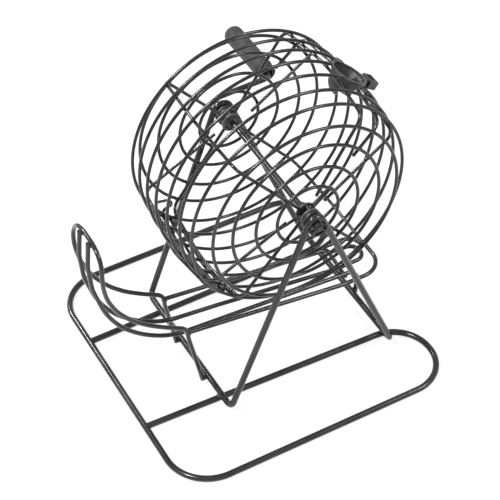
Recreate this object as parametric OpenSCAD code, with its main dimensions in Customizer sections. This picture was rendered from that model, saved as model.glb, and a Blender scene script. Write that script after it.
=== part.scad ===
// Raffle drum: a wire drum on a bent wire stand, turned by a crank, over a wire ball track.
// Millimetres, +Z up. X runs along the skids, Y along the drum shaft, Z = 0 is the table.
// The front of the drum is at -Y, the crank is at the rear, +Y.

/* [Wire] */

// Diameter of the base and leg wire
frame_wire_d = 5.5; // [4:0.1:6]
// Diameter of the ball track wire
track_wire_d = 3.9; // [2.4:0.1:4.4]
// Diameter of the drum wire
drum_wire_d = 2.8; // [1.8:0.1:3.2]
// Diameter of the shaft and crank rod
shaft_d = 5; // [4:0.5:7]

/* [Base] */

// From the shaft to the left bar of the base
base_left = 147.5; // [130:1:170]
// From the shaft to the centre of the skid turns
skid_centre = 71; // [60:1:90]
// Half of the base width, to the centre of the outer wires
base_half_width = 129; // [115:1:150]
// Radius of the skid turns at the right
skid_r = 34.5; // [25:0.5:38]
// Radius of the two corners of the left bar
corner_r = 38; // [15:1:45]
// Where the front inner wire meets the left bar, measured from the shaft line
front_inner_y = 51; // [45:1:59]
// Where the rear inner wire meets the left bar, measured from the shaft line
rear_inner_y = 58; // [45:1:59]

/* [Legs] */

// Half of the spread of the feet along X
foot_x = 78.8; // [65:0.5:90]
// From the middle of the drum to the feet of each leg
leg_y = 73.7; // [72:0.1:80]
// How much further out the legs are at the shaft than at the feet
leg_lean = 2.9; // [0:0.1:5]
// Bend radius at the feet
foot_bend_r = 7; // [4:0.5:12]

/* [Drum] */

// Height of the shaft above the table
shaft_z = 190.5; // [175:0.5:210]
// From the middle of the drum to the rings of its ends, at their outer edge
end_y = 62.7; // [55:0.1:64]
// How far the ends bulge out at the hubs
end_bulge = 3.4; // [0:0.1:5]
// Radius of the bare wall line at the middle of the drum
wall_mid_r = 98.2; // [85:0.2:105]
// Radius of the wall line at the ends of the drum
wall_end_r = 91.7; // [80:0.2:96]
// Bend radius where the wires turn from the end into the wall
shoulder_r = 9; // [6:0.5:12]
// Radius of the first end ring, counted from the hub
ring_1_r = 27.5; // [24:0.5:32]
// Radius of the second end ring
ring_2_r = 46; // [40:0.5:52]
// Radius of the third end ring
ring_3_r = 66; // [58:0.5:72]
// From the middle to the shoulder rings
shoulder_y = 51.5; // [48:0.5:52]
// From the middle to the second wall rings
wall_2_y = 35; // [30:0.5:40]
// From the middle to the first wall rings
wall_1_y = 17.4; // [16.5:0.1:20]
// Angle of the long wires that run from hub to hub, from +X towards +Z
main_angle = 130; // [120:1:140]
// Angle of the wire beside the loading side
side_angle = 205; // [198:1:215]
// Angle of the short wire from the front hub to the first end ring
hub_wire_angle = 36; // [32:1:42]
// Radius where the short end wires stop
side_stop_r = 16.8; // [12:0.1:20]
// Radius where the wire in line with the cup stops
cup_line_stop_r = 58; // [50:1:64]

/* [Hub and bearing] */

// Radius of the hub and bearing flanges
flange_r = 8.5; // [7.5:0.5:11]
// Radius of the hub tube
hub_tube_r = 4.2; // [3.6:0.1:6]
// Thickness of a hub's flanges and ribs
hub_plate = 1.6; // [1.2:0.1:2]
// Radius of the bearing core under the leg wire
core_r = 5.5; // [4.5:0.5:7]
// Running clearance of the shaft in its bearings, on the radius
running_gap = 0.05; // [0.03:0.01:0.1]

/* [Crank] */

// Length of the crank arm
crank_r = 55.5; // [45:0.5:70]
// From the middle of the drum to the crank arm
crank_y = 94; // [88:1:105]
// Angle of the crank arm from +X, as photographed
crank_angle = 1; // [-45:1:45]
// Bend radius of the crank rod
crank_bend_r = 7; // [5:0.5:10]
// Length of the grip
grip_len = 67; // [50:1:75]
// Diameter of the grip
grip_d = 17; // [14:0.5:22]

/* [Exit cup] */

// Bore of the cup's mouth
cup_mouth_d = 27.4; // [25:0.2:29]
// Inner diameter of the bowl, for one 22 mm ball
cup_bowl_d = 22.5; // [20:0.1:24]
// Wall of the cup
cup_wall = 1.3; // [1:0.1:2]
// From the mouth to the centre of the bowl
cup_depth = 8.6; // [6:0.2:12]
// Angle of the cup on the drum, as photographed
cup_angle = 46; // [40:1:50]
// Lean of the cup's mouth against the drum wall
cup_lean = 9; // [0:1:15]
// From the middle of the drum to the cup, towards the front
cup_y = -7.6; // [-9:0.1:-6.5]
// Radius of the middle of the cup's mouth
cup_mouth_r = 101.6; // [100:0.2:104]
// Angle from the cup to the wire above it
cup_upper_wire = 10.5; // [10:0.5:13]
// Angle from the cup to the wire below it
cup_lower_wire = 16.5; // [14:0.5:20]
// Turn of the cup's inlet from the lug towards the front
cup_inlet_turn = 50; // [0:5:60]
// From the cup's rim to the lug beside it
lug_gap = 4.4; // [1:0.2:6]
// Length of the lug
lug_len = 8.6; // [6:0.2:12]
// Width of the lug
lug_w = 12.4; // [9:0.2:13]
// Height of the lug
lug_h = 7.2; // [5:0.2:9]

/* [Ball track] */

// Middle line of the track
track_y = -7; // [-12:1:0]
// Half of the track width, to the centre of the rails
track_half = 21.6; // [18:0.2:26]
// Half of the distance between the floor wires
floor_half = 7.8; // [6:0.2:9]
// Height of the rails at the left feet
rail_left_z = 68.5; // [60:0.5:75]
// Height of the rails at the right end
rail_right_z = 47.5; // [42:0.5:52]
// Top of the upturned hoop, centre of the wire
hoop_top_z = 195.8; // [190:0.2:215]
// Distance of the hoop top from the shaft along X
hoop_top_x = 162; // [155:0.5:180]
// Half of the hoop's width at its upper corners
hoop_half = 24.6; // [21:0.2:26]
// Bend radius of the hoop's two upper corners
hoop_corner_r = 8; // [6:0.5:12]
// How far each upper corner of the hoop turns
hoop_corner_turn = 60; // [50:1:68]
// Radius of the front corner of the track's right end
end_corner_r = 20; // [12:1:23]
// From the shaft to the right end of the track
track_end_x = 98.5; // [92:0.5:110]

/* [Hidden] */

$fn = 32;

wire_black = [0.15, 0.15, 0.16];
plastic_black = [0.1, 0.1, 0.11];

// Welded wires of one body bite into each other by this much
weld = 0.06;
// How far a straight runs into its bend, and how much thinner it is
bend_lap = 0.2;
bend_step = 0.01;
base_z = frame_wire_d / 2;
bar_z = base_z + frame_wire_d - weld;

// The legs run from the feet over the bearing core
leg_bend_r = core_r + frame_wire_d / 2;
leg_slant = atan(foot_x / (shaft_z - bar_z)) - asin(leg_bend_r / norm([foot_x, shaft_z - bar_z]));
leg_top_z = shaft_z + leg_bend_r / sin(leg_slant);
bearing_y = leg_y + leg_lean;
leg_top_y = leg_y + leg_lean * (leg_top_z - bar_z) / (shaft_z + leg_bend_r / 2 - bar_z);

// The drum's long wires lie inside the rings
end_slope = end_bulge / (wall_end_r - hub_tube_r);
end_wire_y = end_y - drum_wire_d + weld;
ring_4_r = wall_end_r - shoulder_r + 0.3;
wall_slope = (wall_mid_r - wall_end_r) / end_wire_y;
wall_slant = atan(wall_slope);
wall_bend_r = 150;
wall_middle_dip = wall_bend_r * (1 / cos(wall_slant) - 1);
ring_step = drum_wire_d - weld;
middle_ring_r = wall_mid_r - wall_middle_dip + ring_step;

bearing_inner_y = bearing_y - frame_wire_d / 2 - 3.1;
bearing_outer_y = bearing_y + frame_wire_d / 2 + 3.5;
hub_weld = 0.01;

cup_r = cup_mouth_d / 2 + cup_wall;
cup_rim_r = cup_r + 1;
cup_rim_h = 1.8;
cup_fit = 0.1;
foot_out = frame_wire_d / 2 + track_wire_d / 2 - weld;
foot_end_z = 3.6;
corner_run = hoop_corner_r * tan(hoop_corner_turn / 2);
arch_half = (hoop_half - corner_run * sin(hoop_corner_turn)) / (1 + sin(hoop_corner_turn));
arch_r = arch_half / tan(45 - hoop_corner_turn / 2);
arch_drop = (corner_run + arch_half) * cos(hoop_corner_turn);
floor_right_z = rail_right_z - 2.9;

function unit(v) = v / norm(v);
function side_of(w) = abs(w[2]) > 0.9 ? unit(cross([1, 0, 0], w)) : unit(cross([0, 0, 1], w));
function wall_wire_r(y) = wall_mid_r - abs(y) * wall_slope;
function wall_ring_r(y) = wall_wire_r(y) + ring_step / cos(wall_slant);
function on_drum(r, y, angle) = [r * cos(angle), y, shaft_z + r * sin(angle)];
// A point of a wire on the bulging end; side is -1 or 1
function end_out(r) = end_wire_y + (wall_end_r - r) * end_slope;
function on_end(r, side, angle) = on_drum(r, side * end_out(r), angle);
function mirrored(p, y) = [p[0], 2 * y - p[1], p[2]];

// Moves children so that their X and Z axes lie along two unit vectors
module placed(origin, x, z) {
  y = cross(z, x);
  multmatrix([
    [x[0], y[0], z[0], origin[0]],
    [x[1], y[1], z[1], origin[1]],
    [x[2], y[2], z[2], origin[2]],
    [0, 0, 0, 1]])
    children();
}

// A straight round rod between two points
module rod(a, b, d) {
  if (norm(b - a) > 0.01)
    placed(a, side_of(unit(b - a)), unit(b - a))
      cylinder(d = d, h = norm(b - a));
}

// The bend of a wire at point p, coming along u and leaving along v
module bend(p, u, v, r, d) {
  turn = acos(u * v);
  n = unit(cross(u, v));
  start = p - u * r * tan(turn / 2);
  centre = start + cross(n, u) * r;
  placed(centre, unit(start - centre), n)
    rotate_extrude(angle = turn)
      translate([r, 0])
        circle(d = d);
}

// A wire through the corner points p, bent at each corner with the radius from r.
// The straights run a little way into the bends, so that the wire is one solid.
module bent_wire(p, r, d, closed = false) {
  n = len(p);
  first = closed ? 0 : 1;
  last = closed ? n - 1 : n - 2;
  u = [for (i = [0 : n - 1]) unit(p[(i + 1) % n] - p[i])];
  cut = [for (i = [0 : n - 1])
    i < first || i > last ? 0 : r[i] * tan(acos(u[(i + n - 1) % n] * u[i]) / 2) - bend_lap];
  for (i = [0 : closed ? n - 1 : n - 2])
    rod(p[i] + u[i] * cut[i], p[(i + 1) % n] - u[i] * cut[(i + 1) % n], d - 2 * bend_step);
  for (i = [first : last])
    bend(p[i], u[(i + n - 1) % n], u[i], r[i], d);
}

// A wire ring around the drum axis, left open above and below the cup by two angles
module drum_ring(r, y, above = 0, below = 0) {
  translate([0, y, shaft_z])
    rotate([90, 0, 0])
      rotate([0, 0, cup_angle + above])
        rotate_extrude(angle = 360 - above - below, $fn = 96)
          translate([r, 0])
            circle(d = drum_wire_d);
}

// The base: one wire bent into two hairpin skids and a left bar
module base_wire() {
  left = -base_left;
  right = skid_centre + skid_r;
  inner = base_half_width - 2 * skid_r;
  turn_r = skid_r * 0.995;
  points = [
    [left, -front_inner_y, base_z],
    [right, -inner, base_z],
    [right, -base_half_width, base_z],
    [left, -base_half_width, base_z],
    [left, base_half_width, base_z],
    [right, base_half_width, base_z],
    [right, inner, base_z],
    [left, rear_inner_y, base_z]];
  color(wire_black)
    bent_wire(points, [0, turn_r, turn_r, corner_r, corner_r, turn_r, turn_r, 0], frame_wire_d);
}

// Both legs and the bars between their feet: one closed wire
module leg_wire() {
  front_left = [-foot_x, -leg_y, bar_z];
  front_top = [0, -leg_top_y, leg_top_z];
  front_right = [foot_x, -leg_y, bar_z];
  points = [front_left, front_top, front_right, mirrored(front_right, 0),
    mirrored(front_top, 0), mirrored(front_left, 0)];
  f = foot_bend_r;
  t = leg_bend_r;
  color(wire_black)
    bent_wire(points, [f, t, f, f, t, f], frame_wire_d, closed = true);
}

// Where a track wire that comes down from p ends beside a leg bar; out is -1 or 1
function foot_at(p, out, y) =
  let (
    d = [p[0] - out * foot_x, p[2] - bar_z],
    turn = atan2(d[1], d[0]) - out * acos(foot_out / norm(d)),
    touch = [out * foot_x + foot_out * cos(turn), bar_z + foot_out * sin(turn)])
    [p[0] + (touch[0] - p[0]) * (p[2] - foot_end_z) / (p[2] - touch[1]), y, foot_end_z];

// Corner points of one side of the hoop, from the foot to the top
function hoop_side(side) =
  let (
    y = track_y + side * track_half,
    top_y = track_y + side * hoop_half,
    knee = [-foot_x - 15.7, y, rail_left_z + 5])
    [foot_at(knee, -1, y + side * 3.2),
     knee,
     [-hoop_top_x + 30, y, rail_left_z + 29],
     [-hoop_top_x, (y + top_y) / 2, rail_left_z + 70.5],
     [-hoop_top_x - 2.6, top_y, hoop_top_z - arch_drop],
     [-hoop_top_x, track_y + side * arch_half, hoop_top_z]];

// The upturned hoop at the left, with its two feet on the left leg bar
module track_hoop() {
  front = hoop_side(-1);
  rear = hoop_side(1);
  points = concat(front, [for (i = [5 : -1 : 0]) rear[i]]);
  corner = hoop_corner_r * 0.9;
  top = arch_r * 0.94;
  color(wire_black)
    bent_wire(points, [0, 9, 56, 50, corner, top, top, corner, 50, 56, 9, 0], track_wire_d);
}

// Where a rail starts, against the hoop's foot
function rail_start(side) =
  let (s = hoop_side(side), t = (s[1][2] - rail_left_z) / (s[1][2] - s[0][2]))
    s[1] + (s[0] - s[1]) * t + [track_wire_d / 2 - weld, 0, 0];

// Front rail: along the track, round its right end and back to the rear rail
module track_front_rail() {
  y = track_y - track_half;
  back_y = track_y + track_half + track_wire_d - weld;
  points = [
    rail_start(-1),
    [57, y, rail_right_z],
    [track_end_x, y, rail_right_z],
    [track_end_x, back_y, rail_right_z],
    [57, back_y, rail_right_z + 0.6]];
  color(wire_black)
    bent_wire(points, [0, 60, end_corner_r, 17, 0], track_wire_d);
}

// Rear rail: along the track, then down to its foot on the right leg bar
module track_rear_rail() {
  y = track_y + track_half;
  turn = [foot_x - 12.8, y, rail_right_z];
  points = [
    rail_start(1),
    turn,
    foot_at(turn, 1, y)];
  color(wire_black)
    bent_wire(points, [0, 6, 0], track_wire_d);
}

// Corner points of a floor wire, from its end against the hoop's top down into the track
function floor_side(side) =
  let (
    y = track_y + side * floor_half)
    [[-hoop_top_x - track_wire_d + 0.3, y, hoop_top_z + 1.8],
     [-hoop_top_x - 6.2, y, hoop_top_z - 23.8],
     [-hoop_top_x - 4.6, y, hoop_top_z - 49.8],
     [-hoop_top_x + 12, y, rail_left_z + 16 + side * 1.5],
     [-hoop_top_x + 62, y, rail_left_z - 12 + side * 1.2]];

// Front floor wire, with its foot on the right leg bar
module track_front_floor() {
  y = track_y - floor_half;
  drop = [foot_x + 1.2, y + 1, floor_right_z - 10.6];
  points = concat(floor_side(-1), [
    [foot_x - 4.8, y, floor_right_z - 2.1],
    drop,
    foot_at(drop, 1, y + 9)]);
  color(wire_black)
    bent_wire(points, [0, 40, 50, 100, 60, 8, 8, 0], track_wire_d);
}

// Rear floor wire: turns back at the right and lies against the rear rail
module track_rear_floor() {
  y = track_y + floor_half;
  back_y = track_y + track_half - track_wire_d + weld;
  turn_r = (back_y - track_y) / 2;
  end_x = track_end_x - 6;
  points = concat(floor_side(1), [
    [-50, y, rail_left_z - 17],
    [60, track_y, floor_right_z],
    [end_x, track_y, floor_right_z],
    [end_x, back_y, floor_right_z],
    [60, back_y, rail_right_z + 0.7]]);
  color(wire_black)
    bent_wire(points, [0, 40, 50, 100, 60, 80, 60, turn_r * 0.995, turn_r * 0.99, 0], track_wire_d);
}

// A spool that sits in the bend of a leg and carries the shaft; side is -1 or 1
module bearing(side) {
  color(plastic_black)
    translate([0, 0, shaft_z])
      rotate([-90 * side, 0, 0])
        difference() {
          rotate_extrude()
            polygon([
              [0, bearing_inner_y],
              [flange_r - 0.6, bearing_inner_y],
              [flange_r, bearing_inner_y + 0.6],
              [flange_r, bearing_y - frame_wire_d / 2 - 0.3],
              [core_r, bearing_y - frame_wire_d / 2 - 0.3],
              [core_r, bearing_y + frame_wire_d / 2 + 0.3],
              [flange_r, bearing_y + frame_wire_d / 2 + 0.3],
              [flange_r, bearing_outer_y - 0.8],
              [flange_r - 0.8, bearing_outer_y],
              [0, bearing_outer_y]]);
          translate([0, 0, bearing_inner_y - 1])
            cylinder(r = shaft_d / 2 + running_gap, h = bearing_outer_y - bearing_inner_y + 2);
        }
}

module front_bearing() {
  bearing(-1);
}

module rear_bearing() {
  bearing(1);
}

// Shaft, crank arm and grip pin: one rod
module shaft_and_crank() {
  out = [cos(crank_angle), 0, sin(crank_angle)];
  centre = [0, 0, shaft_z];
  points = [
    centre + [0, -bearing_outer_y - 1.2, 0],
    centre + [0, crank_y, 0],
    centre + [0, crank_y, 0] + out * crank_r,
    centre + [0, crank_y + grip_len, 0] + out * crank_r];
  color(wire_black)
    bent_wire(points, [0, crank_bend_r, crank_bend_r, 0], shaft_d);
}

// A ribbed hub that holds the drum's end wires; side is -1 or 1
module hub(side) {
  inner = end_out(flange_r) - drum_wire_d / 2 - hub_plate;
  outer = bearing_inner_y - 1.1;
  color(plastic_black)
    translate([0, 0, shaft_z])
      rotate([-90 * side, 0, 0])
        difference() {
          union() {
            translate([0, 0, inner])
              cylinder(r = hub_tube_r, h = outer - inner);
            translate([0, 0, inner])
              cylinder(r = flange_r, h = hub_plate);
            translate([0, 0, outer - hub_plate])
              cylinder(r = flange_r, h = hub_plate);
            for (a = [0, 90, 180, 270])
              rotate([0, 0, a])
                translate([hub_tube_r - 0.5, -hub_plate / 2, inner])
                  cube([flange_r - hub_tube_r - 0.5, hub_plate, outer - inner]);
          }
          translate([0, 0, inner - 1])
            cylinder(d = shaft_d, h = outer - inner + 2);
        }
}

module front_hub() {
  hub(-1);
}

module rear_hub() {
  hub(1);
}

// The four flat rings of one end; side is -1 or 1
module end_rings(side) {
  color(wire_black)
    for (r = [ring_1_r, ring_2_r, ring_3_r, ring_4_r])
      drum_ring(r, side * (end_out(r) + drum_wire_d - weld));
}

module front_end_rings() {
  end_rings(-1);
}

module rear_end_rings() {
  end_rings(1);
}

module shoulder_rings() {
  color(wire_black)
    for (y = [-shoulder_y, shoulder_y])
      drum_ring(wall_ring_r(y), y);
}

module second_wall_rings() {
  color(wire_black)
    for (y = [-wall_2_y, wall_2_y])
      drum_ring(wall_ring_r(y), y);
}

// Places children at the cup's mouth: Z points out of the drum, Y along the shaft
module at_cup() {
  a = cup_angle + cup_lean;
  placed(on_drum(cup_mouth_r, cup_y, cup_angle), [sin(a), 0, -cos(a)], [cos(a), 0, sin(a)])
    children();
}

// How far the cup's wall of radius r reaches along a ring at y
function cup_reach(y, r) = sqrt(r ^ 2 - (abs(y - cup_y) - drum_wire_d / 2) ^ 2) + cup_fit;

// A ring that stops at the cup: at its rim above, and at its flared wall below
module stopped_ring(r, y) {
  drum_ring(r, y, asin(cup_reach(y, cup_rim_r) / r), asin((cup_reach(y, cup_r - 0.6) + 0.5) / r));
}

// The three middle rings; the two that meet the exit cup stop at it
module middle_rings() {
  color(wire_black) {
    drum_ring(wall_ring_r(wall_1_y), wall_1_y);
    stopped_ring(middle_ring_r, 0);
    stopped_ring(wall_ring_r(wall_1_y), -wall_1_y);
  }
}

// A long wire at one angle: along the end, over the shoulder, along the wall and back.
// Its ends may stand at angles of their own.
module long_wire(angle, front_r, rear_r, front_angle = undef, rear_angle = undef) {
  points = [
    on_end(front_r, -1, is_undef(front_angle) ? angle : front_angle),
    on_drum(wall_end_r, -end_wire_y, angle),
    on_drum(wall_mid_r, 0, angle),
    on_drum(wall_end_r, end_wire_y, angle),
    on_end(rear_r, 1, is_undef(rear_angle) ? angle : rear_angle)];
  bent_wire(points, [0, shoulder_r, wall_bend_r, shoulder_r, 0], drum_wire_d);
}

// A short wire from an end ring over the shoulder to the cup; side is -1 or 1
module cup_wire(side, end_r) {
  a = cup_angle - 3;
  stop_y = cup_y + side * (cup_r - 1.2);
  bent_wire([
    on_end(end_r, side, a),
    on_drum(wall_end_r, side * end_wire_y, a),
    on_drum(wall_wire_r(stop_y), stop_y, a)], [0, shoulder_r, 0], drum_wire_d);
}

module hub_to_hub_wires() {
  color(wire_black)
    for (a = [main_angle, -main_angle, -180 + main_angle])
      long_wire(a, hub_tube_r - hub_weld, hub_tube_r - hub_weld);
}

module cup_side_wires() {
  upper = cup_angle + cup_upper_wire;
  lower = cup_angle - cup_lower_wire;
  color(wire_black) {
    long_wire(upper, side_stop_r, hub_tube_r - hub_weld, upper + 2);
    long_wire(lower, side_stop_r, side_stop_r + 3, lower - 10, lower - 24);
  }
}

module cup_line_wires() {
  color(wire_black) {
    cup_wire(-1, cup_line_stop_r);
    cup_wire(1, cup_line_stop_r);
    rod(on_end(hub_tube_r - hub_weld, -1, hub_wire_angle),
      on_end(ring_1_r + 1.5, -1, hub_wire_angle), drum_wire_d);
  }
}

module loading_side_wire() {
  color(wire_black)
    long_wire(side_angle, side_stop_r + 1.2, side_stop_r, side_angle - 19, side_angle + 4);
}

// The outer form of the cup: a flared mouth on a round bowl
module cup_form(grow) {
  bowl_r = cup_bowl_d / 2 + grow;
  translate([0, 0, -cup_depth]) {
    sphere(r = bowl_r);
    cylinder(r1 = bowl_r - bend_step, r2 = cup_mouth_d / 2 + grow, h = cup_depth - cup_rim_h + 0.1);
  }
}

// The plastic cup that catches one ball at the lug's side and lets it out at the mouth
module exit_cup() {
  bowl_r = cup_bowl_d / 2;
  color(plastic_black)
    at_cup() {
      difference() {
        union() {
          cup_form(cup_wall);
          rotate([0, 0, -cup_inlet_turn])
            translate([0, -bowl_r - cup_wall, -cup_depth - 5])
              cube([bowl_r, 2 * bowl_r + 2 * cup_wall, cup_depth + 5 - cup_rim_h]);
          translate([0, 0, -cup_rim_h])
            cylinder(r = cup_rim_r, h = cup_rim_h);
          translate([0, cup_r + 1.2, -cup_rim_h])
            cylinder(r = 4.2, h = 2.6);
        }
        rotate([0, 0, -cup_inlet_turn])
          translate([0.5, -bowl_r - 0.05, -cup_depth - cup_r])
            cube([cup_r + 4, 2 * bowl_r + 0.1, cup_depth + cup_r - cup_rim_h - 2.2]);
        cup_form(0);
        translate([0, 0, -cup_rim_h - 0.05])
          cylinder(d = cup_mouth_d, h = cup_rim_h + 4);
      }
      translate([cup_rim_r - 0.9, -lug_w / 2 + 1.5, -lug_h + 2.6])
        cube([lug_gap + 1.5, lug_w - 4, lug_h - 2.8]);
      difference() {
        translate([cup_rim_r + lug_gap, -lug_w / 2 - 0.3, -lug_h + 0.3])
          cube([lug_len, lug_w, lug_h]);
        translate([cup_rim_r + lug_gap + 1.6, -lug_w / 2 + 1.3, -lug_h - 1])
          cube([lug_len - 3.2, lug_w - 3.2, lug_h + 4]);
      }
    }
}

// The turning grip on the crank pin
module grip() {
  grip_r = grip_d / 2;
  end_r = 6;
  start_y = crank_y + shaft_d / 2 + 1.5;
  color(plastic_black)
    translate([crank_r * cos(crank_angle), start_y, shaft_z + crank_r * sin(crank_angle)])
      rotate([-90, 0, 0])
        difference() {
          rotate_extrude()
            union() {
              polygon([
                [0, 0],
                [grip_r - 2.2, 0],
                [grip_r - 0.8, 1.4],
                [grip_r - 0.8, 5],
                [grip_r - 1.6, 6],
                [grip_r, 8],
                [grip_r, grip_len - end_r],
                [0, grip_len - end_r]]);
              square([grip_r - end_r, grip_len]);
              translate([grip_r - end_r, grip_len - end_r])
                intersection() {
                  circle(r = end_r);
                  square(end_r);
                }
            }
          translate([0, 0, -1])
            cylinder(r = shaft_d / 2 + running_gap, h = grip_len - 1.5);
          translate([0, 0, -1])
            cylinder(r = grip_r - 3.9, h = crank_y + crank_bend_r - start_y + 1.3);
        }
}

base_wire();
leg_wire();
track_hoop();
track_front_rail();
track_rear_rail();
track_front_floor();
track_rear_floor();
front_bearing();
rear_bearing();
shaft_and_crank();
front_hub();
rear_hub();
front_end_rings();
rear_end_rings();
shoulder_rings();
second_wall_rings();
middle_rings();
hub_to_hub_wires();
cup_side_wires();
cup_line_wires();
loading_side_wire();
exit_cup();
grip();
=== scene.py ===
import math
import bpy
from mathutils import Matrix, Quaternion, Vector


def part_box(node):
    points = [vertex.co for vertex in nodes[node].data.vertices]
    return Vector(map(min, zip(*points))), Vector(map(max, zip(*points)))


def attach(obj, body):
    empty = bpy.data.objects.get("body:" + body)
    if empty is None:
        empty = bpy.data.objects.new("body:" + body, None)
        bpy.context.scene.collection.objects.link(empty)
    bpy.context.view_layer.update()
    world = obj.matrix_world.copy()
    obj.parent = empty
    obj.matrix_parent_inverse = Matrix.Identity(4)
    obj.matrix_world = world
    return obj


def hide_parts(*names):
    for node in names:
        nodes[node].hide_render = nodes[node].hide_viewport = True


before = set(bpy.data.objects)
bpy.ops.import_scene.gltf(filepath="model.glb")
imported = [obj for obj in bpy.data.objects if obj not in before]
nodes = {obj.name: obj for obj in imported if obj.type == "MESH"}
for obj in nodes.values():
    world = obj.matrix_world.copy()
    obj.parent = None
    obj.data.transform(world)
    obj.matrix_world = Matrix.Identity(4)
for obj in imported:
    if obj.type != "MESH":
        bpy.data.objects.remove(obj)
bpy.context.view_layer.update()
mm = 0.001
shaftZ = 190.5  # the shaft's height over the floor, in millimetres
print("frame loaded:", len(nodes), "nodes")

# the photograph's view
photoView = {
    "azimuth": -27.674,
    "elevation": 45.48,
    "roll": -1.537,
    "target": (-0.01353, 0.0081, 0.09326),
    "distance": 1.5208,
    "lens": 129.83,
    "sensor": 36,
    "clip": (0.05, 50),
}


def makeCamera(v):
    az = math.radians(v["azimuth"])
    el = math.radians(v["elevation"])
    back = Vector((math.sin(az) * math.cos(el), -math.cos(az) * math.cos(el), math.sin(el)))
    camera = bpy.data.objects.new("camera", bpy.data.cameras.new("camera"))
    bpy.context.scene.collection.objects.link(camera)
    camera.data.lens = v["lens"]
    camera.data.sensor_width = v["sensor"]
    camera.rotation_mode = "QUATERNION"
    camera.location = Vector(v["target"]) + back * v["distance"]
    turn = back.to_track_quat("Z", "Y")
    camera.rotation_quaternion = turn @ Quaternion((0, 0, 1), math.radians(v["roll"]))
    camera.data.clip_start, camera.data.clip_end = v["clip"]
    bpy.context.scene.camera = camera


makeCamera(photoView)
print("camera placed")


def newMaterial(name):
    mat = bpy.data.materials.new(name)
    mat.use_nodes = True
    tree = mat.node_tree
    shader = tree.nodes["Principled BSDF"]
    return mat, tree, shader


# what both coats and plastics share: the skin's grain and blotches, and the rub on edges
skinValues = {"grainDetail": 3, "grainRough": 0.55, "cellShare": 0.4,
              "blotchDetail": 4, "blotchFrom": 0.32, "blotchTo": 0.68}


# fine uneven skin of a powder coat or a moulded plastic: a height and a soft blotch mask
def makeSkinGroup(s):
    group = bpy.data.node_groups.new("skinGrain", "ShaderNodeTree")
    socket = group.interface.new_socket
    for name, value in (("Grain Scale", 900.0), ("Blotch Scale", 60.0)):
        socket(name=name, in_out="INPUT", socket_type="NodeSocketFloat").default_value = value
    socket(name="Height", in_out="OUTPUT", socket_type="NodeSocketFloat")
    socket(name="Blotch", in_out="OUTPUT", socket_type="NodeSocketFloat")
    add = group.nodes.new
    link = group.links.new
    inp = add("NodeGroupInput")
    out = add("NodeGroupOutput")
    where = add("ShaderNodeTexCoord")
    grain = add("ShaderNodeTexNoise")
    grain.inputs["Detail"].default_value = s["grainDetail"]
    grain.inputs["Roughness"].default_value = s["grainRough"]
    cells = add("ShaderNodeTexVoronoi")
    cells.feature = "SMOOTH_F1"
    blotch = add("ShaderNodeTexNoise")
    blotch.inputs["Detail"].default_value = s["blotchDetail"]
    mix = add("ShaderNodeMix")
    mix.data_type = "FLOAT"
    mix.inputs[0].default_value = s["cellShare"]
    for tex in (grain, cells, blotch):
        link(where.outputs["Object"], tex.inputs["Vector"])
    link(inp.outputs["Grain Scale"], grain.inputs["Scale"])
    link(inp.outputs["Grain Scale"], cells.inputs["Scale"])
    link(inp.outputs["Blotch Scale"], blotch.inputs["Scale"])
    link(grain.outputs[0], mix.inputs[2])
    link(cells.outputs["Distance"], mix.inputs[3])
    link(mix.outputs[0], out.inputs["Height"])
    spread = add("ShaderNodeMapRange")
    spread.inputs["From Min"].default_value = s["blotchFrom"]
    spread.inputs["From Max"].default_value = s["blotchTo"]
    link(blotch.outputs[0], spread.inputs["Value"])
    link(spread.outputs[0], out.inputs["Blotch"])
    return group


rubValues = {"fullFrom": 0.75, "breakUpDetail": 5}


# light rub on edges and high spots, from how sharply the surface turns
def makeRubGroup(r):
    group = bpy.data.node_groups.new("edgeRub", "ShaderNodeTree")
    socket = group.interface.new_socket
    for name, value in (("Sharpness", 0.55), ("Break Up Scale", 220.0)):
        socket(name=name, in_out="INPUT", socket_type="NodeSocketFloat").default_value = value
    socket(name="Rub", in_out="OUTPUT", socket_type="NodeSocketFloat")
    add = group.nodes.new
    link = group.links.new
    inp = add("NodeGroupInput")
    out = add("NodeGroupOutput")
    where = add("ShaderNodeTexCoord")
    geo = add("ShaderNodeNewGeometry")
    edge = add("ShaderNodeMapRange")
    edge.inputs["To Max"].default_value = 1
    edge.inputs["From Max"].default_value = r["fullFrom"]
    noise = add("ShaderNodeTexNoise")
    noise.inputs["Detail"].default_value = r["breakUpDetail"]
    times = add("ShaderNodeMath")
    times.operation = "MULTIPLY"
    times.use_clamp = True
    link(geo.outputs["Pointiness"], edge.inputs["Value"])
    link(inp.outputs["Sharpness"], edge.inputs["From Min"])
    link(where.outputs["Object"], noise.inputs["Vector"])
    link(inp.outputs["Break Up Scale"], noise.inputs["Scale"])
    link(edge.outputs[0], times.inputs[0])
    link(noise.outputs[0], times.inputs[1])
    link(times.outputs[0], out.inputs["Rub"])
    return group


skinGroup = makeSkinGroup(skinValues)
rubGroup = makeRubGroup(rubValues)

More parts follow.
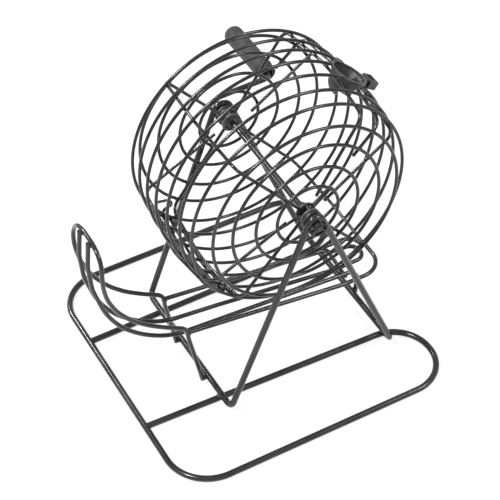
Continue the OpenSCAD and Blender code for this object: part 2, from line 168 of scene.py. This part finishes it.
finishes = {
    "wireCoat": {
        "dark": (0.007, 0.007, 0.0073), "light": (0.015, 0.015, 0.0155), "rub": (0.05, 0.05, 0.051),
        "roughLow": 0.15, "roughHigh": 0.22, "grain": 1100.0, "blotch": 45.0,
        "bump": 0.16, "depth": 0.00006, "sharpness": 0.56, "shine": 0.32,
    },
    "drumCoat": {
        "dark": (0.006, 0.006, 0.0063), "light": (0.013, 0.013, 0.0135), "rub": (0.04, 0.04, 0.041),
        "roughLow": 0.15, "roughHigh": 0.22, "grain": 1400.0, "blotch": 60.0,
        "bump": 0.16, "depth": 0.00006, "sharpness": 0.56, "shine": 0.32,
    },
    "weldCoat": {
        "dark": (0.006, 0.006, 0.0063), "light": (0.014, 0.014, 0.0145), "rub": (0.04, 0.04, 0.041),
        "roughLow": 0.28, "roughHigh": 0.4, "grain": 1800.0, "blotch": 200.0,
        "bump": 0.45, "depth": 0.00012, "sharpness": 0.56, "shine": 0.42,
    },
    "mouldedPlastic": {
        "dark": (0.007, 0.007, 0.0073), "light": (0.014, 0.014, 0.0145), "rub": (0.09, 0.09, 0.092),
        "roughLow": 0.42, "roughHigh": 0.56, "grain": 1900.0, "blotch": 110.0,
        "bump": 0.16, "depth": 0.00006, "sharpness": 0.53, "shine": 0.35,
    },
    "gripPlastic": {
        "dark": (0.012, 0.012, 0.0125), "light": (0.034, 0.034, 0.035), "rub": (0.07, 0.07, 0.072),
        "roughLow": 0.62, "roughHigh": 0.78, "grain": 1500.0, "blotch": 160.0,
        "bump": 0.35, "depth": 0.00012, "sharpness": 0.53, "shine": 0.25,
    },
}


def makeFinish(name, f):
    mat, tree, shader = newMaterial(name)
    add = tree.nodes.new
    link = tree.links.new
    skin = add("ShaderNodeGroup")
    skin.node_tree = skinGroup
    skin.inputs["Grain Scale"].default_value = f["grain"]
    skin.inputs["Blotch Scale"].default_value = f["blotch"]
    rub = add("ShaderNodeGroup")
    rub.node_tree = rubGroup
    rub.inputs["Sharpness"].default_value = f["sharpness"]
    tone = add("ShaderNodeMix")
    tone.data_type = "RGBA"
    tone.inputs[6].default_value = (*f["dark"], 1)
    tone.inputs[7].default_value = (*f["light"], 1)
    link(skin.outputs["Blotch"], tone.inputs[0])
    worn = add("ShaderNodeMix")
    worn.data_type = "RGBA"
    worn.inputs[7].default_value = (*f["rub"], 1)
    link(rub.outputs["Rub"], worn.inputs[0])
    link(tone.outputs[2], worn.inputs[6])
    link(worn.outputs[2], shader.inputs["Base Color"])
    rough = add("ShaderNodeMapRange")
    rough.inputs["To Min"].default_value = f["roughLow"]
    rough.inputs["To Max"].default_value = f["roughHigh"]
    link(skin.outputs["Blotch"], rough.inputs["Value"])
    link(rough.outputs[0], shader.inputs["Roughness"])
    bump = add("ShaderNodeBump")
    bump.inputs["Strength"].default_value = f["bump"]
    bump.inputs["Distance"].default_value = f["depth"]
    link(skin.outputs["Height"], bump.inputs["Height"])
    link(bump.outputs[0], shader.inputs["Normal"])
    shader.inputs["Specular IOR Level"].default_value = f["shine"]
    return mat


materials = {name: makeFinish(name, f) for name, f in finishes.items()}
print("materials made")

nodeFinish = {
    "wireCoat": ["base_wire", "leg_wire", "track_hoop", "track_front_rail", "track_rear_rail",
                 "track_front_floor", "track_rear_floor", "shaft_and_crank"],
    "drumCoat": ["front_end_rings", "rear_end_rings", "shoulder_rings", "second_wall_rings",
                 "middle_rings", "hub_to_hub_wires", "cup_side_wires", "cup_line_wires",
                 "loading_side_wire"],
    "mouldedPlastic": ["front_bearing", "rear_bearing", "front_hub", "rear_hub", "exit_cup"],
    "gripPlastic": ["grip"],
}
for finish, names in nodeFinish.items():
    for name in names:
        slots = nodes[name].data.materials
        slots.clear()
        slots.append(materials[finish])
print("nodes dressed")


def deselect():
    for o in bpy.context.selected_objects:
        o.select_set(False)


# selects these pieces alone, with the first one active
def pick(*pieces):
    deselect()
    for piece in pieces:
        piece.select_set(True)
    bpy.context.view_layer.objects.active = pieces[0]


# puts the places of these pieces into their meshes
def settle(*pieces):
    pick(*pieces)
    bpy.ops.object.transform_apply(location=True, rotation=True, scale=True)


# in edit mode: merges what lies together and turns all faces outwards
def closeMesh(within=1e-6):
    bpy.ops.mesh.select_all(action="SELECT")
    bpy.ops.mesh.remove_doubles(threshold=within)
    bpy.ops.mesh.normals_make_consistent(inside=False)


def finishPiece(piece, name, body, finish):
    piece.name = name
    piece.data.name = name
    piece.data.materials.clear()
    piece.data.materials.append(materials[finish])
    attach(piece, body)


# copies of one small piece, each with its own mesh, joined as one set
def copySet(start, places):
    copies = []
    for place in places:
        o = start.copy()
        o.data = start.data.copy()
        bpy.context.scene.collection.objects.link(o)
        o.matrix_world = place
        copies.append(o)
    bpy.data.objects.remove(start)
    settle(*copies)
    bpy.ops.object.join()
    return copies[0]


weldSizes = {"drum": (3.7, 1.9), "stand": (5.0, 2.6), "around": 12, "upwards": 8}


# a flat weld bead, wider than it is high; x and y lie along the two wires
def weldBead(width, height):
    deselect()
    bpy.ops.mesh.primitive_uv_sphere_add(
        segments=weldSizes["around"], ring_count=weldSizes["upwards"], radius=1)
    bead = bpy.context.object
    bpy.ops.object.mode_set(mode="EDIT")
    bpy.ops.mesh.select_all(action="SELECT")
    bpy.ops.transform.resize(value=[v * mm / 2 for v in (width, width, height)])
    bpy.ops.object.mode_set(mode="OBJECT")
    bpy.ops.object.shade_smooth()
    return bead


# a place whose z points out of the surface and whose x lies along a wire
def standing(place, out, along):
    z = Vector(out).normalized()
    x = Vector(along)
    x = (x - z * x.dot(z)).normalized()
    y = z.cross(x)
    m = Matrix((x, y, z)).transposed().to_4x4()
    m.translation = Vector(place)
    return m


# where the drum's rings and long wires cross, in millimetres and degrees; the wall's bend
# at the middle ring is rounded, and lies lower by middleDrop
drumGrid = {
    "endY": 62.7, "step": 2.74, "wallMid": 98.2, "wallEnd": 91.7, "middleDrop": 0.43,
    "bulge": 3.4, "hubTube": 4.2, "firstRing": 27.5,
    "endRings": (46.0, 66.0, 83.0), "wallRings": (-51.5, -35.0, -17.4, 0.0, 17.4, 35.0, 51.5),
    "fullWires": (130.0, -130.0, -50.0, 56.5, 29.5, 205.0),
    # where each long wire crosses the first end ring, at the front and at the rear
    "frontTurn": {56.5: 57.9, 29.5: 23.6, 205.0: 192.3},
    "rearTurn": {29.5: 11.3, 205.0: 207.6},
    # the wire in line with the cup: the radius from which it runs, and where the cup cuts it;
    # a short wire reaches the front's first ring alone
    "cupWire": 43.0, "cupWireFrom": 58.0, "cupGap": (-20.0, 10.0), "shortWire": 36.0,
}


def drumWeldPlaces(g):
    places = []
    endWire = g["endY"] - g["step"]
    slope = (g["wallMid"] - g["wallEnd"]) / endWire
    endSlope = g["bulge"] / (g["wallEnd"] - g["hubTube"])
    for side in (-1, 1):
        turns = g["frontTurn"] if side < 0 else g["rearTurn"]
        crossings = [(g["firstRing"], turns.get(w, w)) for w in g["fullWires"]]
        if side < 0:
            crossings.append((g["firstRing"], g["shortWire"]))
        for ring in g["endRings"]:
            angles = list(g["fullWires"])
            if ring > g["cupWireFrom"]:
                angles.append(g["cupWire"])
            share = (g["wallEnd"] - ring) / (g["wallEnd"] - g["firstRing"])
            for w in angles:
                first = turns.get(w, w)
                # a wire that leans crosses each ring a little further round
                lean = math.radians(first - w)
                x = g["wallEnd"] + (g["firstRing"] * math.cos(lean) - g["wallEnd"]) * share
                z = g["firstRing"] * math.sin(lean) * share
                crossings.append((ring, w + math.degrees(math.atan2(z, x))))
        for ring, angle in crossings:
            a = math.radians(angle)
            out = Vector((math.cos(a), 0, math.sin(a)))
            y = endWire + endSlope * (g["wallEnd"] - ring) + g["step"] / 2
            place = out * ring + Vector((0, side * y, shaftZ))
            places.append(standing(place * mm, (0, side, 0), out))
    cupFrom, cupTo = g["cupGap"]
    for y in g["wallRings"]:
        angles = list(g["fullWires"])
        if y < cupFrom or y > cupTo:
            angles.append(g["cupWire"])
        wire = g["wallMid"] - abs(y) * slope - (g["middleDrop"] if y == 0 else 0)
        for angle in angles:
            a = math.radians(angle)
            out = Vector((math.cos(a), 0, math.sin(a)))
            tilt = 0 if y == 0 else math.copysign(slope, y)
            normal = (out + Vector((0, tilt, 0))).normalized()
            place = out * wire + Vector((0, y, shaftZ)) + normal * g["step"] / 2
            places.append(standing(place * mm, normal, (0, 1, 0)))
    return places


drumWelds = copySet(weldBead(*weldSizes["drum"]), drumWeldPlaces(drumGrid))
finishPiece(drumWelds, "drumWelds", "drum", "weldCoat")
print("drum welds made")

# places of the stand's spot welds in millimetres, and the way from wire to wire
standWelds = {
    "legBars": [((-78.8, -53.4, 5.5), (0, 0, 1)), ((-78.8, 58.5, 5.5), (0, 0, 1)),
                ((78.8, -59.7, 5.5), (0, 0, 1)), ((78.8, 60.6, 5.5), (0, 0, 1))],
    "trackFeet": [((-81.5, -31.6, 7.8), (1, 0, 0.16)), ((-81.5, 17.6, 7.8), (1, 0, 0.16)),
                  ((81.2, 14.6, 9.3), (0.9, 0, 0.44)), ((81.5, -7.2, 8.5), (1, 0, 0.13))],
    "railEnds": [((-91.7, -28.8, 67.6), (1, 0, 0.09)), ((-91.7, 14.8, 67.6), (1, 0, 0.09))],
    "hoopTop": [((-164.0, -14.9, 195.1), (1, 0, -0.09)), ((-164.0, 0.9, 195.1), (1, 0, -0.09))],
    "railBends": [((62.5, 16.5, 48.0), (0, 1, 0)), ((62.5, 12.7, 47.8), (0, 1, 0)),
                  ((75.0, 12.7, 46.8), (0, 1, 0))],
    "baseEnds": [((-145.2, -51.1, 2.8), (1, 0, 0)), ((-145.2, 58.0, 2.8), (1, 0, 0))],
}


def standWeldPlaces(groups):
    places = []
    for group in groups.values():
        for place, out in group:
            along = (0, 1, 0) if abs(out[1]) < 0.5 else (1, 0, 0)
            places.append(standing(Vector(place) * mm, out, along))
    return places


standBeads = copySet(weldBead(*weldSizes["stand"]), standWeldPlaces(standWelds))
finishPiece(standBeads, "standWelds", "stand", "weldCoat")
print("stand welds made")

wireFineness = {"around": 5, "between": 10, "bendSteps": 12, "sharpFrom": 40}


# a wire along a line of points in millimetres, made as a curve and then a mesh
def drawWire(points, diameter, closed, smooth):
    curve = bpy.data.curves.new("wire", "CURVE")
    curve.dimensions = "3D"
    curve.bevel_depth = diameter / 2 * mm
    curve.bevel_resolution = wireFineness["around"]
    curve.use_fill_caps = True
    spline = curve.splines.new("BEZIER" if smooth else "POLY")
    knots = spline.bezier_points if smooth else spline.points
    knots.add(len(points) - 1)
    for knot, place in zip(knots, points):
        if smooth:
            knot.co = Vector(place) * mm
            knot.handle_left_type = "AUTO"
            knot.handle_right_type = "AUTO"
        else:
            knot.co = (*(Vector(place) * mm), 1)
    spline.use_cyclic_u = closed
    spline.resolution_u = wireFineness["between"]
    wire = bpy.data.objects.new("wire", curve)
    bpy.context.scene.collection.objects.link(wire)
    pick(wire)
    bpy.ops.object.convert(target="MESH")
    wire = bpy.context.view_layer.objects.active
    bpy.ops.object.mode_set(mode="EDIT")
    closeMesh()
    bpy.ops.object.mode_set(mode="OBJECT")
    bpy.ops.object.shade_smooth_by_angle(angle=math.radians(wireFineness["sharpFrom"]))
    return wire


# the points of a closed line whose corners are rounded, each with its own radius
def roundCorners(corners, radii):
    line = []
    steps = wireFineness["bendSteps"]
    count = len(corners)
    for i, radius in enumerate(radii):
        here = Vector(corners[i])
        before = (Vector(corners[i - 1]) - here).normalized()
        after = (Vector(corners[(i + 1) % count]) - here).normalized()
        half = before.angle(after) / 2
        reach = radius / math.tan(half)
        centre = here + (before + after).normalized() * radius / math.sin(half)
        start = here + before * reach - centre
        end = here + after * reach - centre
        for k in range(steps + 1):
            line.append(centre + start.slerp(end, k / steps).normalized() * radius)
    return line


# the legs: one closed wire that bends over both bearings
legShape = {
    "diameter": 5.5, "footX": 78.8, "frontFootY": -73.7, "rearFootY": 76.4, "barZ": 8.19,
    "frontLeft": (-77.4, -72.4), "footBend": 7.0,
    "front": {"x": 0.5, "y": -76.8, "z": 207.35, "bend": 6.2},
    "rear": {"x": -0.3, "y": 77.0, "z": 213.5, "bend": 8.25},
}


def makeLegs(s):
    x, z = s["footX"], s["barZ"]
    front, rear = s["front"], s["rear"]
    near, far = s["frontFootY"], s["rearFootY"]
    corners = [(*s["frontLeft"], z), (front["x"], front["y"], front["z"]), (x, near, z),
               (x, far, z), (rear["x"], rear["y"], rear["z"]), (-x, far, z)]
    foot = s["footBend"]
    line = roundCorners(corners, [foot, front["bend"], foot, foot, rear["bend"], foot])
    return drawWire(line, s["diameter"], True, False)


legWire = makeLegs(legShape)
finishPiece(legWire, "legWire", "stand", "wireCoat")
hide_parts("leg_wire")

# the upturned hoop: half of its line from the foot to the top, with its half width
hoopShape = {
    "diameter": 3.9, "middleY": -7.0,
    # the feet spread by this much over their height, from where they leave the sides
    "footSpread": 3.2, "footTop": 67.6, "footHeight": 64.0,
    "foot": [(-83.3, 21.6, 6.8), (-84.4, 21.6, 13.5), (-89.5, 21.6, 43.7), (-92.3, 21.6, 60.0)],
    "side": [(-93.3, 21.6, 67.6), (-94.2, 21.6, 71.6), (-96.6, 21.6, 75.2), (-102.5, 21.6, 79.2),
             (-113.4, 21.6, 86.2), (-131.7, 21.7, 100.3), (-147.2, 22.4, 118.0),
             (-157.7, 23.6, 137.0), (-163.3, 25.3, 157.1), (-164.4, 26.4, 175.1),
             (-163.5, 24.6, 185.3), (-163.0, 20.4, 191.6), (-162.7, 12.6, 195.7)],
    "top": (-162.6, 0.0, 197.0),
}


def makeHoop(s):
    half = list(s["side"])
    for x, y, z in reversed(s["foot"]):
        spread = s["footSpread"] * (s["footTop"] - z) / s["footHeight"]
        half.insert(0, (x, y + spread, z))
    front = [(x, s["middleY"] - y, z) for x, y, z in half]
    rear = [(x, s["middleY"] + y, z) for x, y, z in reversed(half)]
    top = (s["top"][0], s["middleY"], s["top"][2])
    return drawWire(front + [top] + rear, s["diameter"], False, True)


hoopWire = makeHoop(hoopShape)
finishPiece(hoopWire, "hoopWire", "stand", "wireCoat")
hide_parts("track_hoop")
print("legs and hoop made")

# the loading door: a wire frame over the rings, with long wires and a hook at each end
doorShape = {
    "from": 213.0, "to": 233.0, "front": -45.5, "rear": 52.5, "out": 5.3, "diameter": 2.6,
    "wires": (218.0, 223.0, 228.0), "hookTurn": 223.0, "longSteps": 12, "shortSteps": 4,
    # each hook's way from the frame: how far inwards, and how far past the frame's end
    "rearHook": ((0, -8), (0, 0), (4, 3.5), (9, 2), (12, 1.5), (13, 4), (11.5, 7.5),
                 (7.5, 11.5), (4, 14.5)),
    "frontHook": ((0, -8), (0, 0), (2.5, 3), (6, 4), (8, 2), (7.5, -1.5)),
}


def makeDoor(g, s):
    slope = (g["wallMid"] - g["wallEnd"]) / (g["endY"] - g["step"])

    def onWall(angle, y):
        a = math.radians(angle)
        r = g["wallMid"] - abs(y) * slope + s["out"]
        return (r * math.cos(a), y, shaftZ + r * math.sin(a))

    front, rear = s["front"], s["rear"]
    many, few = s["longSteps"], s["shortSteps"]
    along = [front + (rear - front) * i / many for i in range(many + 1)]
    arc = [s["from"] + (s["to"] - s["from"]) * i / few for i in range(1, few)]
    frameLine = [onWall(s["from"], y) for y in along] + [onWall(a, rear) for a in arc]
    frameLine += [onWall(s["to"], y) for y in reversed(along)]
    frameLine += [onWall(a, front) for a in reversed(arc)]
    parts = [drawWire(frameLine, s["diameter"], True, True)]
    for angle in s["wires"]:
        parts.append(drawWire([onWall(angle, y) for y in along], s["diameter"], False, False))
    a = math.radians(s["hookTurn"])
    inward = Vector((-math.cos(a), 0, -math.sin(a)))
    for end, side, way in ((front, -1, s["frontHook"]), (rear, 1, s["rearHook"])):
        base = Vector(onWall(s["hookTurn"], end))
        line = [base + inward * deep + Vector((0, side * past, 0)) for deep, past in way]
        parts.append(drawWire(line, s["diameter"], False, True))
    pick(*parts)
    bpy.ops.object.join()
    return parts[0]


doorWires = makeDoor(drumGrid, doorShape)
finishPiece(doorWires, "loadingDoor", "drum", "drumCoat")
print("loading door made")


# a round bar along the shaft, from one y to another, all in millimetres
def addBar(radius, low, high, sides=64, x=0.0, z=shaftZ):
    deselect()
    bpy.ops.mesh.primitive_cylinder_add(
        vertices=sides, radius=radius * mm, depth=(high - low) * mm,
        location=(x * mm, (low + high) / 2 * mm, z * mm), rotation=(math.pi / 2, 0, 0))
    return bpy.context.object


# a block whose length runs across the shaft, turned about it
def addRib(length, width, low, high, turn, z=shaftZ):
    deselect()
    bpy.ops.mesh.primitive_cube_add(size=1, location=(0, (low + high) / 2 * mm, z * mm))
    block = bpy.context.object
    block.scale = (length * mm, (high - low) * mm, width * mm)
    block.rotation_euler = (0, math.radians(turn), 0)
    settle(block)
    return block


# joins a tool to a solid or cuts it out of it, and removes the tool
def combine(target, tool, how):
    pick(target)
    mod = target.modifiers.new(how.lower(), "BOOLEAN")
    mod.operation = how
    mod.solver = "EXACT"
    mod.object = tool
    bpy.ops.object.modifier_apply(modifier=mod.name)
    bpy.data.objects.remove(tool)


# breaks the edges sharper than an angle and shades the rest smooth
def softenEdges(piece, width, sharpFrom):
    pick(piece)
    mod = piece.modifiers.new("edges", "BEVEL")
    mod.width = width * mm
    mod.segments = 2
    mod.limit_method = "ANGLE"
    mod.angle_limit = math.radians(sharpFrom)
    mod.use_clamp_overlap = True
    bpy.ops.object.modifier_apply(modifier=mod.name)
    bpy.ops.object.shade_smooth_by_angle(angle=math.radians(sharpFrom))


# moulded spools with cored faces: the drum's hubs and the stand's bearings
spoolShape = {
    "flange": 8.5, "tube": 4.2, "plate": 1.6, "bore": 2.5, "edge": 0.22, "sharpFrom": 35,
    "pocketInner": 4.0, "pocketOuter": 7.2, "pocketDepth": 0.9,
    "rib": 1.4, "ribLength": 20, "ribTurn": 45, "finLength": 15, "finInset": 0.3,
    "holeRadius": 1.15, "holeAt": 5.6, "holeAngles": (40, 220), "holeSides": 24,
    "past": 1.0,  # how far a cutting tool reaches past what it cuts
    # the bearings alone; the leg wire's groove lies a little nearer the drum than the middle
    "collar": 3.6, "frontCore": 3.4, "rearCore": 5.5, "bearingBore": 2.58,
    "bearingPocket": 2.0, "groove": 6.1, "grooveShift": 0.2,
    "openAbove": -1.5, "openWidth": 30, "openHeight": 12, "openOverlap": 0.1,
}


# where a spool's node begins and ends along the shaft
def spoolEnds(node):
    lo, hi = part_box(node)
    return lo[1] / mm, hi[1] / mm


# four pockets sunk into each face of a spool, with ribs between them
def cutPockets(body, s, low, high, depth):
    past = s["past"]
    for start, end in ((low - past / 2, low + depth), (high - depth, high + past / 2)):
        ring = addBar(s["pocketOuter"], start, end)
        combine(ring, addBar(s["pocketInner"], start - past, end + past), "DIFFERENCE")
        for turn in (s["ribTurn"], s["ribTurn"] + 90):
            rib = addRib(s["ribLength"], s["rib"], start - past, end + past, turn)
            combine(ring, rib, "DIFFERENCE")
        combine(body, ring, "DIFFERENCE")


def makeHub(name, node, s):
    low, high = spoolEnds(node)
    body = addBar(s["tube"], low, high)
    for start in (low, high - s["plate"]):
        combine(body, addBar(s["flange"], start, start + s["plate"]), "UNION")
    finEnds = (low + s["finInset"], high - s["finInset"])
    for turn in (0, 90):
        combine(body, addRib(s["finLength"], s["rib"], *finEnds, turn), "UNION")
    cutPockets(body, s, low, high, s["pocketDepth"])
    for angle in s["holeAngles"]:
        a = math.radians(angle)
        hole = addBar(s["holeRadius"], low - s["past"], high + s["past"], s["holeSides"],
                      s["holeAt"] * math.cos(a), shaftZ + s["holeAt"] * math.sin(a))
        combine(body, hole, "DIFFERENCE")
    combine(body, addBar(s["bore"], low - s["past"], high + s["past"]), "DIFFERENCE")
    softenEdges(body, s["edge"], s["sharpFrom"])
    finishPiece(body, name, "drum", "mouldedPlastic")
    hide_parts(node)


def makeBearing(name, node, s):
    low, high = spoolEnds(node)
    outward = 1 if low > 0 else -1
    middle = (low + high) / 2 - outward * s["grooveShift"]
    body = addBar(s["rearCore"] if outward > 0 else s["frontCore"], low, high)
    combine(body, addBar(s["flange"], low, middle - s["groove"] / 2), "UNION")
    combine(body, addBar(s["flange"], middle + s["groove"] / 2, high), "UNION")
    cutPockets(body, s, low, high, s["bearingPocket"])
    # the outer flange is open above the shaft, where the leg wire bends over
    face = high if outward > 0 else low
    edge = middle + outward * s["groove"] / 2
    start, end = sorted((face + outward * s["past"], edge - outward * s["openOverlap"]))
    opening = addRib(s["openWidth"], s["openHeight"], start, end, 0,
                     shaftZ + s["openAbove"] + s["openHeight"] / 2)
    combine(opening, addBar(s["collar"], start - s["past"], end + s["past"]), "DIFFERENCE")
    combine(body, opening, "DIFFERENCE")
    combine(body, addBar(s["bearingBore"], low - s["past"], high + s["past"]), "DIFFERENCE")
    softenEdges(body, s["edge"], s["sharpFrom"])
    finishPiece(body, name, "stand", "mouldedPlastic")
    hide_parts(node)


makeHub("frontHubSpool", "front_hub", spoolShape)
makeHub("rearHubSpool", "rear_hub", spoolShape)
makeBearing("frontBearingSpool", "front_bearing", spoolShape)
makeBearing("rearBearingSpool", "rear_bearing", spoolShape)
print("hubs and bearings made")


# a solid turned from a closed line of (radius, distance) pairs about a line along y
def turnProfile(profile, place, steps, sharpFrom):
    mesh = bpy.data.meshes.new("profile")
    edges = [(i, i + 1) for i in range(len(profile) - 1)]
    mesh.from_pydata([(r * mm, d * mm, 0) for r, d in profile], edges, [])
    piece = bpy.data.objects.new("profile", mesh)
    bpy.context.scene.collection.objects.link(piece)
    pick(piece)
    bpy.ops.object.mode_set(mode="EDIT")
    bpy.ops.mesh.select_all(action="SELECT")
    bpy.ops.mesh.spin(steps=steps, angle=2 * math.pi, center=(0, 0, 0), axis=(0, 1, 0))
    closeMesh()
    bpy.ops.object.mode_set(mode="OBJECT")
    piece.location = [v * mm for v in place]
    settle(piece)
    bpy.ops.object.shade_smooth_by_angle(angle=math.radians(sharpFrom))
    return piece


# the grip: a long sleeve with a ribbed collar beside the crank and a domed end
gripShape = {
    "radius": 8.5, "length": 67.0, "dome": 6.4, "domeSteps": 12, "bore": 2.7, "boreEnd": 65.2,
    "recess": 4.6, "recessDepth": 4.3, "recessEdge": 0.3,
    # the collar: its ribs stand at its radius and its grooves are cut to a smaller one
    "collar": 7.8, "faceEdge": (1.2, 1.1), "groove": 6.9, "grooveSlope": 0.2, "grooveWidth": 0.8,
    "firstGroove": 1.7, "ribs": 3, "ribStep": 2.0, "shoulder": 1.0,
    "crankRadius": 55.5, "crankAngle": 1.0, "startY": 98.0, "steps": 72, "sharpFrom": 30,
}


def makeGrip(s):
    collar, slope, width = s["collar"], s["grooveSlope"], s["grooveWidth"]
    faceIn, faceDown = s["faceEdge"]
    profile = [(0, s["boreEnd"]), (s["bore"], s["boreEnd"]), (s["bore"], s["recessDepth"]),
               (s["recess"], s["recessDepth"]), (s["recess"], s["recessEdge"]),
               (s["recess"] + s["recessEdge"], 0), (collar - faceIn, 0), (collar, faceDown)]
    for i in range(s["ribs"]):
        d = s["firstGroove"] + i * s["ribStep"]
        profile += [(collar, d - slope), (s["groove"], d), (s["groove"], d + width),
                    (collar, d + width + slope)]
    last = s["firstGroove"] + s["ribs"] * s["ribStep"]
    profile += [(collar, last - slope), (s["radius"], last + s["shoulder"])]
    for i in range(s["domeSteps"] + 1):
        a = math.radians(i * 90 / s["domeSteps"])
        profile.append((s["radius"] - s["dome"] + s["dome"] * math.cos(a),
                        s["length"] - s["dome"] + s["dome"] * math.sin(a)))
    profile.append((0, s["length"]))
    a = math.radians(s["crankAngle"])
    place = (s["crankRadius"] * math.cos(a), s["startY"], shaftZ + s["crankRadius"] * math.sin(a))
    return turnProfile(profile, place, s["steps"], s["sharpFrom"])


gripSleeve = makeGrip(gripShape)
finishPiece(gripSleeve, "gripSleeve", "grip", "gripPlastic")
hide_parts("grip")
print("grip made")

# the floor, the world and the lamps
studio = {
    "floorSize": 14.0, "floorZ": -0.0002, "floorShade": 0.8, "floorRough": 0.9,
    "floorShine": 0.1, "floorWhite": 0.82, "worldLight": 0.45,
    # each lamp's power, size and place, and the place that all of them face
    "lamps": {"key": (60.0, 0.4, (-1.2, -0.2, 1.9)), "top": (30.0, 0.6, (1.1, -1.0, 1.6)),
              "back": (40.0, 0.35, (-0.6, 1.5, 1.5))},
    "aim": (0, 0, 0.12),
}


def makeFloor(s):
    deselect()
    bpy.ops.mesh.primitive_plane_add(size=s["floorSize"], location=(0, 0, s["floorZ"]))
    floor = bpy.context.object
    floor.name = "floor"
    settle(floor)
    mat, tree, shader = newMaterial("floorPaper")
    add = tree.nodes.new
    link = tree.links.new
    c = s["floorShade"]
    shader.inputs["Base Color"].default_value = (c, c, c, 1)
    shader.inputs["Roughness"].default_value = s["floorRough"]
    shader.inputs["Specular IOR Level"].default_value = s["floorShine"]
    light = add("ShaderNodeEmission")
    light.inputs["Color"].default_value = (1, 1, 1, 1)
    rays = add("ShaderNodeLightPath")
    seen = add("ShaderNodeMath")
    seen.operation = "MULTIPLY"
    seen.inputs[1].default_value = s["floorWhite"]
    link(rays.outputs["Is Camera Ray"], seen.inputs[0])
    mix = add("ShaderNodeMixShader")
    link(seen.outputs[0], mix.inputs[0])
    link(shader.outputs[0], mix.inputs[1])
    link(light.outputs[0], mix.inputs[2])
    link(mix.outputs[0], tree.nodes["Material Output"].inputs["Surface"])
    floor.data.materials.append(mat)


def makeWorld(s):
    world = bpy.data.worlds.new("studio")
    bpy.context.scene.world = world
    world.use_nodes = True
    tree = world.node_tree
    tree.nodes.clear()
    add = tree.nodes.new
    link = tree.links.new
    rays = add("ShaderNodeLightPath")
    seen = add("ShaderNodeMath")
    seen.operation = "MAXIMUM"
    link(rays.outputs["Is Camera Ray"], seen.inputs[0])
    link(rays.outputs["Is Transmission Ray"], seen.inputs[1])
    shown = add("ShaderNodeMath")
    shown.operation = "MAXIMUM"
    link(seen.outputs[0], shown.inputs[0])
    link(rays.outputs["Is Glossy Ray"], shown.inputs[1])
    dim = add("ShaderNodeBackground")
    dim.inputs["Color"].default_value = (1, 1, 1, 1)
    dim.inputs["Strength"].default_value = s["worldLight"]
    white = add("ShaderNodeBackground")
    white.inputs["Color"].default_value = (1, 1, 1, 1)
    mix = add("ShaderNodeMixShader")
    out = add("ShaderNodeOutputWorld")
    link(shown.outputs[0], mix.inputs[0])
    link(dim.outputs[0], mix.inputs[1])
    link(white.outputs[0], mix.inputs[2])
    link(mix.outputs[0], out.inputs["Surface"])


def makeLamp(name, power, size, place, aim):
    data = bpy.data.lights.new(name, "AREA")
    data.shape = "DISK"
    data.size = size
    data.energy = power
    lamp = bpy.data.objects.new(name, data)
    bpy.context.scene.collection.objects.link(lamp)
    lamp.location = place
    lamp.rotation_mode = "QUATERNION"
    lamp.rotation_quaternion = (Vector(aim) - Vector(place)).to_track_quat("-Z", "Y")


makeFloor(studio)
makeWorld(studio)
for name, (power, size, place) in studio["lamps"].items():
    makeLamp(name, power, size, place, studio["aim"])
bpy.context.scene.view_settings.view_transform = "Standard"
print("stage lit")
